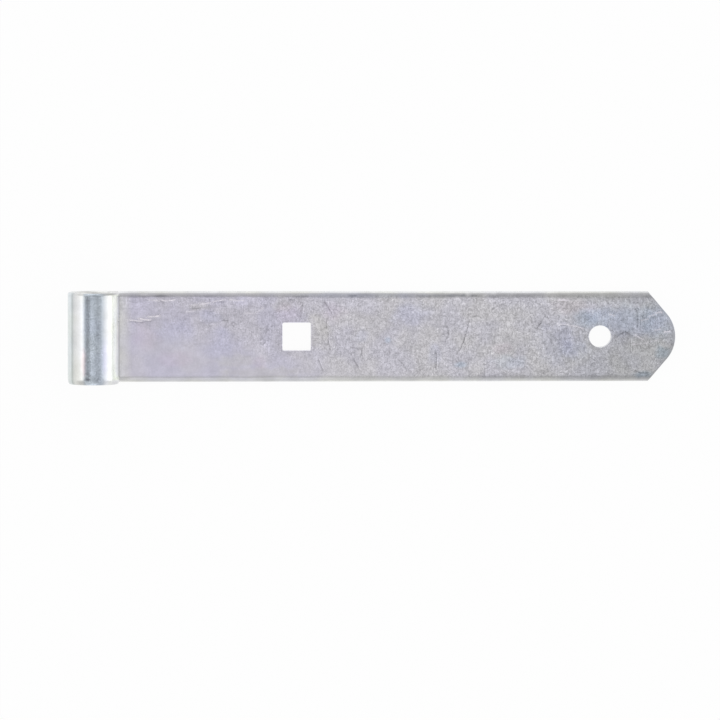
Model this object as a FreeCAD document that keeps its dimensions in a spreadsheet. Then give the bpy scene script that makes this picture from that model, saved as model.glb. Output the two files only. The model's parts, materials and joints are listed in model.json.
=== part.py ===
"""The band of a hook and band hinge: one flat steel bar whose end is rolled into an eye.

The bar lies flat with its front face up. Its near end is rolled up and over into an eye that
turns on the pin of a hook, and its far end is sheared to two flanks with a round nose between
them. A carriage bolt goes through the square hole nearer the eye, and a plain bolt through the
round hole at the nose.

Frame, in millimetres: the origin is on the pin's axis, midway along the eye. +X runs along the
bar to the nose, +Y runs along the pin's axis, and +Z points out of the front face. The back
face is the lowest.
"""

import FreeCAD, Part
import os
from math import radians, tan

import Sketcher
from FreeCAD import Vector

# Driving sizes, in millimetres and degrees
DIMENSIONS = [
    ("overall_length", 300.0, "from the outside of the eye to the end of the nose"),
    ("bar_width", 45.0, "width of the flat bar, and so the length of the eye"),
    ("bar_thickness", 4.5, "thickness of the flat bar"),
    ("bar_edge_radius", 2.0, "rounding that the mill leaves on the bar's long edges"),
    ("pin_diameter", 16.0, "pin of the hook that the eye turns on"),
    ("pin_clearance", 0.5, "how much wider the eye is than the pin"),
    ("seam_gap", 0.3, "from the end of the roll to the bar's front face"),
    ("nose_radius", 17.5, "round end of the nose"),
    ("flank_angle", 50.0, "between a flank of the nose and the bar's long edge"),
    ("square_hole_place", 100.0, "from the pin's axis to the middle of the square hole"),
    ("square_hole_side", 14.0, "across the flats of the square hole"),
    ("square_hole_corner", 0.8, "corner radius of the square hole"),
    ("round_hole_place", 250.0, "from the pin's axis to the middle of the round hole"),
    ("round_hole_diameter", 11.0, "bore of the round hole"),
    ("punch_rounding", 0.4, "rounding that the punch draws in the front edges of the holes"),
    ("shear_margin", 5.0, "how far the cut round the nose reaches past the bar"),
]

# Sizes worked out from the driving ones, as expressions on the sheet
EYE_RADIUS = "(dimensions.pin_diameter + dimensions.pin_clearance) / 2"
EYE_OUTER_RADIUS = f"({EYE_RADIUS} + dimensions.bar_thickness)"
BAR_DEPTH = f"({EYE_RADIUS} + dimensions.bar_thickness / 2)"
NOSE_PLACE = f"(dimensions.overall_length - {EYE_OUTER_RADIUS})"
# The roll stops where its outer corner comes down to the seam gap above the bar's front face.
ROLL_ANGLE = f"360 deg - acos(({EYE_RADIUS} - dimensions.seam_gap) / {EYE_OUTER_RADIUS})"
# The rounding of an edge stays under half the thickness that carries it.
EDGE_RADIUS = "min(dimensions.bar_edge_radius; 0.49 * dimensions.bar_thickness)"

# The points of a curve, and a sketch's own axes and origin, as the sketcher numbers them
START, END, CENTRE = range(1, 4)
AXES = {"across": -1, "up": -2}
ORIGIN = (AXES["across"], START)


def make_sheet(doc):
    sheet = doc.addObject("Spreadsheet::Sheet", "dimensions")
    for row, (alias, value, meaning) in enumerate(DIMENSIONS, start=1):
        sheet.set(f"A{row}", alias)
        sheet.set(f"B{row}", str(value))
        sheet.set(f"C{row}", meaning)
        sheet.setAlias(f"B{row}", alias)
    doc.recompute()


def origin_feature(body, role):
    return next(f for f in body.Origin.OriginFeatures if f.Role == role)


def add_sketch(body, plane, name):
    sketch = body.newObject("Sketcher::SketchObject", name)
    sketch.AttachmentSupport = (origin_feature(body, plane), "")
    sketch.MapMode = "FlatFace"
    return sketch


def value_of(sketch, expression):
    value = sketch.evalExpression(expression)
    return getattr(value, "Value", value)


def add_size(sketch, name, expression, kind, *where):
    """Adds a dimension to a sketch and binds it to the sheet."""
    angle = kind == "Angle"
    value = value_of(sketch, expression)
    index = sketch.addConstraint(Sketcher.Constraint(kind, *where, radians(value) if angle else value))
    sketch.renameConstraint(index, name)
    sketch.setExpression(f"Constraints.{name}", f"({expression}) * 1 deg" if angle else expression)


def relate(sketch, kind, *where):
    sketch.addConstraint(Sketcher.Constraint(kind, *where))


def add_line(sketch, start, end):
    return sketch.addGeometry(Part.LineSegment(start, end), False)


def draw_round_cornered_box(sketch, width, height, corner, axis, place):
    """Draws a box with round corners, its middle on an axis of the sketch and away from the origin.

    The middle lies to the right of the origin on the axis across, and below it on the axis up."""
    distance = value_of(sketch, place)
    middle = Vector(distance, 0, 0) if axis == "across" else Vector(0, -distance, 0)
    radius = value_of(sketch, corner)
    reach_x = value_of(sketch, width) / 2 - radius
    reach_y = value_of(sketch, height) / 2 - radius

    arcs = []
    for number, (side_x, side_y) in enumerate([(1, 1), (-1, 1), (-1, -1), (1, -1)]):
        centre = middle + Vector(side_x * reach_x, side_y * reach_y, 0)
        circle = Part.Circle(centre, Vector(0, 0, 1), radius)
        arc = Part.ArcOfCircle(circle, radians(90 * number), radians(90 * (number + 1)))
        arcs.append(sketch.addGeometry(arc, False))
    following = arcs[1:] + arcs[:1]
    lines = [
        add_line(sketch, sketch.getPoint(arc, END), sketch.getPoint(after, START))
        for arc, after in zip(arcs, following)
    ]
    top, left, bottom, right = lines

    for arc, line, after in zip(arcs, lines, following):
        relate(sketch, "Tangent", arc, END, line, START)
        relate(sketch, "Tangent", line, END, after, START)
    for line in (top, bottom):
        relate(sketch, "Horizontal", line)
    for line in (left, right):
        relate(sketch, "Vertical", line)
    for arc in arcs[1:]:
        relate(sketch, "Equal", arcs[0], arc)
    point = sketch.addGeometry(Part.Point(middle), True)
    relate(sketch, "Symmetric", arcs[0], CENTRE, arcs[2], CENTRE, point, START)
    relate(sketch, "PointOnObject", point, START, AXES[axis])

    if axis == "across":
        add_size(sketch, "place", place, "DistanceX", *ORIGIN, point, START)
    else:
        add_size(sketch, "place", place, "DistanceY", point, START, *ORIGIN)
    add_size(sketch, "width", width, "DistanceX", left, START, right, START)
    add_size(sketch, "height", height, "DistanceY", bottom, START, top, START)
    add_size(sketch, "corner", corner, "Radius", arcs[0])


def draw_nose_waste(sketch):
    """Draws what the shear takes off the far end: all that lies outside the flanks and the nose."""
    margin = "dimensions.shear_margin"
    half_width = value_of(sketch, "dimensions.bar_width / 2")
    past = value_of(sketch, margin)
    radius = value_of(sketch, "dimensions.nose_radius")
    end = value_of(sketch, NOSE_PLACE)
    reach = radians(90 - value_of(sketch, "dimensions.flank_angle"))

    circle = Part.Circle(Vector(end - radius, 0, 0), Vector(0, 0, 1), radius)
    nose = sketch.addGeometry(Part.ArcOfCircle(circle, -reach, reach), False)
    low_tangent = sketch.getPoint(nose, START)
    high_tangent = sketch.getPoint(nose, END)
    shoulder = high_tangent.x - (half_width - high_tangent.y) * tan(reach)
    corners = [
        high_tangent,
        Vector(shoulder, half_width, 0),
        Vector(shoulder, half_width + past, 0),
        Vector(end + past, half_width + past, 0),
        Vector(end + past, -half_width - past, 0),
        Vector(shoulder, -half_width - past, 0),
        Vector(shoulder, -half_width, 0),
        low_tangent,
    ]
    lines = [add_line(sketch, a, b) for a, b in zip(corners, corners[1:])]
    high_flank, high_step, high_side, far_side, low_side, low_step, low_flank = lines

    for line, after in zip(lines, lines[1:]):
        relate(sketch, "Coincident", line, END, after, START)
    relate(sketch, "Tangent", nose, END, high_flank, START)
    relate(sketch, "Tangent", low_flank, END, nose, START)
    relate(sketch, "PointOnObject", nose, CENTRE, AXES["across"])
    relate(sketch, "Symmetric", high_flank, END, low_flank, START, AXES["across"])
    for line in (high_step, far_side, low_step):
        relate(sketch, "Vertical", line)
    for line in (high_side, low_side):
        relate(sketch, "Horizontal", line)

    middle = f"{NOSE_PLACE} - dimensions.nose_radius"
    width = "dimensions.bar_width"
    far_margin = f"dimensions.nose_radius + {margin}"
    add_size(sketch, "nose_radius", "dimensions.nose_radius", "Radius", nose)
    add_size(sketch, "nose_middle", middle, "DistanceX", *ORIGIN, nose, CENTRE)
    add_size(sketch, "bar_width", width, "DistanceY", low_flank, START, high_flank, END)
    add_size(sketch, "flank_angle", "180 - dimensions.flank_angle", "Angle", high_flank)
    add_size(sketch, "high_margin", margin, "DistanceY", high_flank, END, high_side, START)
    add_size(sketch, "low_margin", margin, "DistanceY", low_side, END, low_flank, START)
    add_size(sketch, "far_margin", far_margin, "DistanceX", nose, CENTRE, far_side, START)


def cut_through(body, name, sketch):
    """Cuts the sketch's shape out of the bar, from the pin's axis down through both faces."""
    doc = body.Document
    doc.recompute()
    before = body.Shape.Volume
    pocket = body.newObject("PartDesign::Pocket", name)
    pocket.Profile = sketch
    pocket.Type = "ThroughAll"
    doc.recompute()
    if body.Shape.Volume >= before:
        raise RuntimeError(f"{name} cuts nothing")


def hole_edge_names(shape):
    """Names the edges where the holes open in the front face, the largest flat face that looks up."""
    flat_faces = [face for face in shape.Faces if isinstance(face.Surface, Part.Plane)]
    looking_up = [face for face in flat_faces if face.normalAt(0, 0).z > 0.5]
    front = max(looking_up, key=lambda face: face.Area)
    holes = [wire for wire in front.Wires if not wire.isSame(front.OuterWire)]
    rims = [edge for wire in holes for edge in wire.Edges]
    return [
        f"Edge{number}"
        for number, edge in enumerate(shape.Edges, start=1)
        if any(edge.isSame(rim) for rim in rims)
    ]


def make_band(doc):
    """The one piece: bar stock with a rolled eye, a sheared nose and two punched holes."""
    body = doc.addObject("PartDesign::Body", "hinge_band")

    section = add_sketch(body, "YZ_Plane", "bar_section")
    draw_round_cornered_box(
        section, "dimensions.bar_width", "dimensions.bar_thickness", EDGE_RADIUS, "up", BAR_DEPTH
    )
    doc.recompute()

    bar = body.newObject("PartDesign::Pad", "bar")
    bar.Profile = section
    bar.setExpression("Length", NOSE_PLACE)
    doc.recompute()

    eye = body.newObject("PartDesign::Revolution", "eye")
    eye.Profile = section
    eye.ReferenceAxis = (origin_feature(body, "Y_Axis"), [""])
    eye.setExpression("Angle", ROLL_ANGLE)
    doc.recompute()

    waste = add_sketch(body, "XY_Plane", "nose_waste")
    draw_nose_waste(waste)
    cut_through(body, "nose", waste)

    square = add_sketch(body, "XY_Plane", "square_hole_outline")
    side = "dimensions.square_hole_side"
    draw_round_cornered_box(
        square, side, side, "dimensions.square_hole_corner", "across", "dimensions.square_hole_place"
    )
    cut_through(body, "square_hole", square)

    ring = add_sketch(body, "XY_Plane", "round_hole_outline")
    centre = Vector(value_of(ring, "dimensions.round_hole_place"), 0, 0)
    radius = value_of(ring, "dimensions.round_hole_diameter") / 2
    circle = ring.addGeometry(Part.Circle(centre, Vector(0, 0, 1), radius), False)
    relate(ring, "PointOnObject", circle, CENTRE, AXES["across"])
    add_size(ring, "place", "dimensions.round_hole_place", "DistanceX", *ORIGIN, circle, CENTRE)
    add_size(ring, "bore", "dimensions.round_hole_diameter", "Diameter", circle)
    cut_through(body, "round_hole", ring)

    rims = body.newObject("PartDesign::Fillet", "punched_edges")
    rims.Base = (body.getObject("round_hole"), hole_edge_names(body.Shape))
    rims.setExpression("Radius", "dimensions.punch_rounding")
    doc.recompute()
    return body


def check(doc, bodies):
    """Stops before anything is written if a feature failed or a piece isn't one closed solid."""
    for item in doc.Objects:
        if "Invalid" in item.State or "Error" in item.State:
            raise RuntimeError(f"{item.Name} failed: {item.State}")
    for body in bodies:
        shape = body.Shape
        if shape.isNull() or not shape.isValid() or len(shape.Solids) != 1:
            raise RuntimeError(f"{body.Label} is not one valid solid")


def main():
    doc = FreeCAD.newDocument("hinge_band")
    make_sheet(doc)
    bodies = [make_band(doc)]
    doc.recompute()
    check(doc, bodies)
    os.makedirs("parts", exist_ok=True)
    for body in bodies:
        body.Shape.exportStep(f"parts/{body.Label}.step")
        box = body.Shape.optimalBoundingBox()
        extent = f"{box.XLength:.2f} x {box.YLength:.2f} x {box.ZLength:.2f} mm"
        print(f"{body.Label}: {body.Shape.Volume:.1f} mm3, {extent}")


main()
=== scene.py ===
"""Looks of the hinge band: zinc plated flat bar with a rolled eye, punched holes and a sheared nose.

The band's mesh is made as the bar's blank, before rolling: along it, across it and through it, in
millimetres, with 0 along the bar under the pin's axis. The blank's near end is then rolled round
that axis, so that its front face becomes the strap's front and the bore, and its back face the
strap's back and the eye's outside. Everything else is in metres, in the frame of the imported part.
"""

import json
import math

import bpy
import numpy as np
from mathutils import Euler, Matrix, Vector, noise
from mathutils.geometry import delaunay_2d_cdt


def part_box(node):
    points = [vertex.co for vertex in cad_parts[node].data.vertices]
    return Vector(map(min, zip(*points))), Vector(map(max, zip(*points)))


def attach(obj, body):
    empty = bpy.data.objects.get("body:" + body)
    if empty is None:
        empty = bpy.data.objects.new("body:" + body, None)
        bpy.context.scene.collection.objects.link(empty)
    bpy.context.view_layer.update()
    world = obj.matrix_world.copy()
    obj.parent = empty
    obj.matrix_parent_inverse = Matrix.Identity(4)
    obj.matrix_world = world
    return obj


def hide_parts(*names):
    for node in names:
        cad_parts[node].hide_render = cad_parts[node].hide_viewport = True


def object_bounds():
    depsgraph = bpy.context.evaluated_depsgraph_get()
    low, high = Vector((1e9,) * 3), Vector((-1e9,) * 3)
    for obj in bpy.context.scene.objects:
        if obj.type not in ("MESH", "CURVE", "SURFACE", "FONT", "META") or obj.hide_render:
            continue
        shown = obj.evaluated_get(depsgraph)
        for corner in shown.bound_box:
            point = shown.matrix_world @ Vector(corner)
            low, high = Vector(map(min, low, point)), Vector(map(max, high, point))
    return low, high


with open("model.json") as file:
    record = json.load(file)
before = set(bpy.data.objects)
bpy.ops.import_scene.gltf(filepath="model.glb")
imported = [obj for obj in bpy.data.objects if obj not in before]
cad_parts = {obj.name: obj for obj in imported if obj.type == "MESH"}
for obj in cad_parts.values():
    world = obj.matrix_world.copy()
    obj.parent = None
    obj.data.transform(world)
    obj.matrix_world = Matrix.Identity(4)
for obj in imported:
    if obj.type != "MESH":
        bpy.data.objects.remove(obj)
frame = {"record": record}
cad_low, cad_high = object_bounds()

MM = 0.001

# The band's sizes as packed, in millimetres
band_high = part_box("hinge_band")[1] / MM
mounts = {mount["name"]: mount for mount in frame["record"]["mounts"]}
EYE_RADIUS = mounts["pin_eye"]["dims"]["r_mm"]
EYE_OUTER_RADIUS = band_high.z
THICKNESS = EYE_OUTER_RADIUS - EYE_RADIUS
HALF_WIDTH = band_high.y
NOSE_END = band_high.x
ROUND_HOLE_PLACE = mounts["round_hole"]["pos_m"][0] / MM
ROUND_HOLE_RADIUS = mounts["round_hole"]["dims"]["r_mm"]
SQUARE_HOLE_PLACE = mounts["square_hole"]["pos_m"][0] / MM

# Sizes that the frame doesn't give, in millimetres
SEAM_GAP = 0.3
NOSE_RADIUS = 17.5
FLANK_ANGLE = math.radians(50)
SQUARE_HOLE_SIDE = 14.0
SQUARE_HOLE_CORNER = 0.8
PUNCH_ROUNDING = 0.4
SHEAR_ROUNDING = 0.25

# How much narrower the strap gets beside the eye, as a share, and over what length, and how much
# narrower it gets from there to the nose
WAIST = 0.006
WAIST_LENGTH = 12
NARROWING = 0.011

# The rounded long edges of the strap's front, the bore, the eye's outside and the back, first on the
# +Y side and then on the other: their width, their depth and an exponent, 1 for an ellipse and less
# for an edge that bends more at its inner border
STRAP_EDGES = [(2.9, 1.3, 0.6), (3.2, 1.2, 1.0)]
BORE_EDGES = [(1.5, 0.8, 1.0), (1.5, 0.8, 1.0)]
EYE_EDGES = [(1.4, 1.0, 0.8), (3.4, 1.9, 1.0)]
BACK_EDGES = [(2.2, 1.4, 1.0), (2.2, 1.4, 1.0)]
# Where along the blank the eye's edges turn into the strap's
EDGE_CHANGE = (-6, 6)
# How much shallower the edges are at the eye's sides than at its top, as a share
SIDE_SHARE = 0.5
# How much wider the strap's +Y edge is on the far half, and where along the bar it widens
WIDENING = 0.35
WIDENING_PLACE = (90, 130)
# How much the strap's edges vary in width, and over what length along the bar. They hardly vary
# across it, and each face has a seed of its own
EDGE_WAVES = [(0.4, 14), (0.1, 5)]
WAVES_ACROSS = 0.02
FRONT_SEED = 3.7
BACK_SEED = 8.1

# The faces' ripple: its height, its length and its seed. It grows away from the eye, and the change
# is written, as others below, as the two places between which it happens and the levels there
RIPPLES = [(0.012, 21, 1.3), (0.006, 6, 4.9)]
RIPPLE_FROM_EYE = ((8, 45), (0.25, 1.0))
# The faces lie this much lower, which keeps the ripple inside the solid
RIPPLE_ROOM = 0.012

# The blank
MID_RADIUS = EYE_RADIUS + THICKNESS / 2
ROLL_ANGLE = 2 * math.pi - math.acos((EYE_RADIUS - SEAM_GAP) / EYE_OUTER_RADIUS)
ROLL_END = -MID_RADIUS * ROLL_ANGLE
NOSE_MIDDLE = NOSE_END - NOSE_RADIUS
NOSE_REACH = math.radians(90) - FLANK_ANGLE

# The mesh: its pitch, the rim along each long edge, which has rows of its own, and half the width
# between the rims
PITCH = 0.75
RIM_WIDTH = 3.4
RIM_ROWS = 10
INNER = HALF_WIDTH - RIM_WIDTH
# Its rows of points in the walls and along the rounded borders, its points round the round hole and
# in the square hole's corners, and the angle past which a border is sharp
WALL_ROWS = 3
RING_ROWS = 4
ROUND_HOLE_PITCH = 0.6
CORNER_POINTS = 6
SHARP_ANGLE = math.radians(40)
# How clear of the nose's outline, the holes and the marks the plain points stay, in pitches
CLEAR_OF_NOSE = 0.5
CLEAR_OF_HOLE = 0.45
CLEAR_OF_MARK = 0.4
# Points are one where their places agree to this many digits, or where they lie this close
POINT_DIGITS = 5
POINT_REACH = 1e-6

# Marks in the front face: how bright they are (dark below 0), how wide and how deep they are, and
# their places along and across the bar
MARKS = [
    # Scratches beside the eye, and shallow grooves below them darkened as painted shadows
    (0.9, 0.85, 0.0, [(16.8, 8.4), (19.5, 8.2), (23.6, 7.7)]),
    (1.0, 0.95, 0.0, [(22.0, 9.2), (24.5, 8.6), (27.7, 8.3)]),
    (1.0, 0.95, 0.0, [(27.1, 9.9), (29.6, 10.1), (32.3, 10.3)]),
    (-0.4, 0.60, 0.02, [(17.5, 7.6), (20.5, 7.3), (24.5, 7.1)]),
    (-0.3, 0.60, 0.02, [(25.3, 7.7), (28.7, 7.6)]),
    # Scuffs along the +Y edge
    (0.8, 0.80, 0.0, [(27.5, 18.3), (30.0, 18.1), (32.5, 17.7)]),
    (0.9, 0.80, 0.0, [(33.5, 18.2), (36.0, 17.9), (39.5, 18.3)]),
    # A shallow groove just below these scuffs, darkened as a painted shadow
    (-0.4, 0.60, 0.02, [(31.5, 17.7), (34.9, 17.2)]),
    (0.7, 0.85, 0.0, [(52.3, 16.1), (54.6, 16.4), (56.8, 17.0)]),
    (0.7, 0.75, 0.0, [(58.9, 17.4), (61.5, 18.0), (64.6, 18.4)]),
    # A shallow groove just below the scuff above, darkened as a painted shadow
    (-0.5, 0.60, 0.02, [(61.8, 17.4), (65.0, 17.3)]),
    (0.7, 0.80, 0.0, [(67.1, 18.5), (70.5, 18.0), (73.9, 18.2)]),
    # Scuffs and pits up to the square hole
    (0.6, 0.80, 0.0, [(45.9, 12.5), (48.9, 12.8)]),
    (0.5, 0.80, 0.0, [(48.0, 15.6), (50.6, 15.9)]),
    (-0.6, 0.60, 0.03, [(48.6, 14.0), (50.5, 13.8), (52.3, 14.4)]),
    (0.6, 0.75, 0.0, [(74.6, 11.8), (78.5, 11.7), (81.0, 12.7), (83.2, 14.1)]),
    (-0.6, 0.60, 0.03, [(63.4, 8.1), (65.8, 8.0)]),
    (-0.4, 0.40, 0.03, [(67.9, 6.3), (69.1, 7.2), (70.5, 6.2), (69.2, 5.2), (67.9, 6.3)]),
    (-0.3, 0.40, 0.03, [(81.4, -2.4), (83.3, -0.8), (85.1, -2.4), (83.4, -4.0), (81.4, -2.4)]),
    # Hairlines and nicks between the holes
    (-0.6, 0.70, 0.03, [(96.6, 18.4), (98.6, 18.5)]),
    (-0.5, 0.45, 0.04, [(114.1, 17.0), (116.0, 14.0), (118.2, 10.3)]),
    (-0.5, 0.45, 0.04, [(115.3, 2.0), (115.8, -3.0), (117.0, -7.2)]),
    (-0.4, 0.45, 0.04, [(110.8, -11.4), (112.0, -14.5), (113.3, -17.2)]),
    (-0.4, 0.45, 0.04, [(103.0, 16.1), (102.5, 13.0), (102.1, 10.3)]),
    (-0.6, 0.50, 0.05, [(132.2, -7.2), (132.0, -9.2)]),
    (-0.4, 0.45, 0.04, [(126.5, -5.4), (130.0, -5.8), (132.4, -6.2)]),
    (-0.4, 0.45, 0.04, [(127.0, -8.6), (128.6, -12.0), (130.6, -15.4)]),
    (-0.4, 0.45, 0.04, [(150.4, -11.4), (152.8, -14.0), (154.8, -17.0)]),
    (-0.4, 0.45, 0.04, [(115.0, 9.0), (114.6, 6.4), (115.2, 3.6)]),
    (-0.3, 0.45, 0.04, [(169.2, 4.6), (172.0, 5.2), (174.6, 4.8)]),
    (-0.5, 0.45, 0.04, [(186.5, 9.6), (189.6, 10.6), (191.4, 9.4)]),
    (-0.5, 0.45, 0.04, [(196.6, 13.4), (199.4, 15.6), (201.6, 16.2)]),
    (-0.75, 0.50, 0.05, [(185.0, 7.4), (183.8, 2.0), (182.0, -3.5), (180.9, -6.4), (179.2, -8.4)]),
    (-0.8, 0.55, 0.05, [(168.9, -8.0), (169.1, -12.0), (168.8, -15.5)]),
    (-0.5, 0.50, 0.05, [(175.1, 2.8), (175.0, 0.4), (174.0, -0.9)]),
    (-0.4, 0.50, 0.05, [(221.2, 7.4), (219.6, 5.6), (218.8, 4.0)]),
    # Scratches and hairlines round the round hole and on the nose
    (0.9, 0.80, 0.0, [(229.5, 18.3), (232.0, 18.4), (234.4, 18.0)]),
    (0.6, 0.75, 0.0, [(228.7, 6.3), (232.5, 6.0), (236.5, 5.4), (239.0, 4.9), (241.2, 4.0)]),
    (0.6, 0.80, 0.0, [(255.0, 11.0), (256.6, 10.6)]),
    (0.8, 0.80, 0.0, [(277.7, 11.7), (279.2, 12.4), (280.3, 12.2)]),
    (0.6, 0.70, 0.0, [(274.4, 10.2), (276.4, 10.9)]),
    (0.5, 0.70, 0.0, [(270.7, 8.2), (273.6, 8.8)]),
    (0.7, 0.85, 0.0, [(282.0, 2.2), (284.3, 2.6)]),
    (0.5, 0.70, 0.0, [(277.5, 3.2), (279.3, 3.6)]),
    (0.5, 0.75, 0.0, [(267.8, 0.5), (269.4, -0.6), (271.1, -1.4)]),
    (0.5, 0.70, 0.0, [(275.2, -2.5), (278.1, -2.0)]),
    (0.5, 0.60, 0.0, [(266.6, -4.1), (270.0, -3.8), (273.6, -3.1)]),
    (-0.6, 0.55, 0.04, [(259.0, 0.4), (262.4, 2.5), (266.0, 0.4)]),
    (-0.5, 0.50, 0.04, [(267.0, 14.8), (268.6, 11.9), (268.7, 4.4)]),
    (-0.5, 0.50, 0.04, [(265.0, -0.6), (265.1, -7.7)]),
    (-0.5, 0.60, 0.04, [(267.5, -17.0), (270.0, -18.4), (273.0, -18.4)]),
]
# The pitch of the points along a mark, how far it strays to either side, over what length, and the
# seed of that
MARK_PITCH = 0.45
MARK_STRAY = 0.25
MARK_STRAY_LENGTH = 1.7
MARK_SEED = 6.1
# A mark closer than this to the rims has no points of its own
MARK_CLEARANCE = 0.1
# The neighbourhood in which a mark is looked for
MARK_REACH = 3

# The plating's tint round the eye's outside, at degrees from its top towards the strap. It is
# darker and bluer over the top and has a thin dark line at -57; from 52 to 80 it is lighter and
# creamier, and that lightness is painted light
EYE_TINTS_WITH_PAINTED_LIGHT = [
    (-90, (0.720, 0.765, 0.770)), (-61, (0.720, 0.765, 0.770)), (-57, (0.470, 0.505, 0.500)),
    (-53, (0.590, 0.610, 0.605)), (-47, (0.720, 0.725, 0.715)), (-43, (0.755, 0.760, 0.750)),
    (-38, (0.775, 0.775, 0.765)), (-33, (0.755, 0.758, 0.755)), (-28, (0.780, 0.785, 0.790)),
    (-25, (0.770, 0.780, 0.795)), (-22, (0.590, 0.630, 0.680)),
    (-20, (0.564, 0.616, 0.688)), (0, (0.568, 0.624, 0.708)), (18, (0.568, 0.620, 0.696)),
    (22, (0.585, 0.622, 0.678)), (27, (0.675, 0.690, 0.730)), (38, (0.705, 0.705, 0.697)),
    (43, (0.722, 0.735, 0.700)), (47, (0.750, 0.770, 0.715)), (52, (0.800, 0.835, 0.740)),
    (58, (0.930, 0.970, 0.830)), (68, (0.940, 0.980, 0.840)), (80, (0.860, 0.880, 0.810)),
    (100, (0.740, 0.745, 0.735)),
]
# The plating's tint in the bore
BORE_TINT = (0.700, 0.705, 0.715)
# Painted shade and painted light on the eye's rounded edges beside its face, as shares of its tint,
# at the same degrees: on the +Y side and on the other
EYE_RIM_PAINTED_SHADING = [
    (-90, (1.05, 0.90)), (-60, (1.05, 0.90)), (-45, (1.00, 0.95)), (-33, (0.90, 0.74)),
    (-23, (1.00, 0.72)), (-14, (0.96, 1.08)), (-5, (1.00, 1.12)), (4, (0.88, 1.08)),
    (13, (0.80, 0.76)), (23, (0.77, 0.85)), (33, (0.74, 1.10)), (44, (0.66, 1.05)),
    (59, (0.66, 0.80)), (77, (0.85, 0.76)), (90, (0.85, 0.76)),
]
# Painted shade on the eye's cut ends: how bright they are beside its faces
EYE_END_PAINTED_SHADE = 0.80
# Painted light and painted shade on the middle of the strap's rounded edges, as shares of its tint,
# at places along the bar: on the +Y side and on the other
STRAP_RIM_PAINTED_SHADING = [
    (13, (1.0, 0.95)), (19, (1.06, 1.22)), (105, (1.06, 1.22)), (140, (1.0, 1.0)), (225, (1.0, 1.0)),
    (240, (1.10, 1.0)), (262, (1.20, 1.0)), (278, (1.10, 1.0)),
]
# The tint along the strap's front, under its stains. From 13 to 16 beside the eye it is lighter, a
# painted reflection of the eye's bright side, and it grows darker towards the nose
STRAP_TINTS_WITH_PAINTED_LIGHT = [
    (13, (0.772, 0.764, 0.788)), (16, (0.716, 0.700, 0.756)), (19, (0.650, 0.626, 0.738)),
    (95, (0.672, 0.650, 0.748)), (120, (0.716, 0.696, 0.762)), (190, (0.718, 0.702, 0.754)),
    (225, (0.696, 0.684, 0.732)), (245, (0.624, 0.622, 0.664)), (262, (0.590, 0.588, 0.620)),
    (290, (0.582, 0.582, 0.614)),
]
# The eye's tint fades into the strap's over this length
TINT_CHANGE = 4
# Where in the width of a rounded edge, 0 at its inner border and 1 at the wall, its painted light and
# shade start and end, and where its tint turns grey, by which share of the whole
STRAP_PAINTED_SHADE_START = (0.1, 0.4)
STRAP_PAINTED_SHADE_END = (0.55, 0.85)
STRAP_GREYING = [(0.55, (0.0, 0.3)), (0.45, (0.45, 0.85))]
EYE_PAINTED_SHADE_START = (0.1, 0.6)
EYE_GREYING = (0.1, 0.5)
# The eye's edges turn grey only beyond these degrees from its top towards the strap
EYE_GREYING_TURN = (38, 50)

# Stains of the passivation, as shares of the tint under them. Some of these tones paint light and
# shade along the rounded edges instead, as marked below
BLUE = (0.90, 0.99, 1.05)
AZURE = (0.95, 0.99, 1.02)
LAVENDER = (0.97, 0.985, 1.045)
HAZE = (0.98, 0.99, 1.025)
PINK = (1.02, 0.985, 1.0)
STRAW = (1.0, 1.0, 0.93)
GREY = (0.94, 0.94, 0.95)
# Painted shade: the dark band along the rounded long edges and beside the eye's edges
PAINTED_EDGE_SHADE = (0.84, 0.84, 0.85)
# Painted shade in spots along the dark band of the +Y edge
PAINTED_EDGE_DARKNESS = (0.70, 0.71, 0.73)
# Painted shade on the eye's -Y edge, over its top
PAINTED_EYE_EDGE_SHADE = (0.62, 0.62, 0.64)
# Lighter patches, and painted light just inside the +Y edge
LIGHTER_AND_PAINTED_EDGE_LIGHT = (1.05, 1.05, 1.05)
# Paler patches, and painted light just inside the +Y edge
PALER_AND_PAINTED_EDGE_LIGHT = (1.07, 1.07, 1.09)
# Painted highlights in spots along the dark band of the +Y edge
PAINTED_EDGE_HIGHLIGHT = (1.20, 1.20, 1.19)
ROSE = (1.12, 0.97, 0.96)
VIOLET = (1.0, 0.98, 1.06)
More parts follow.
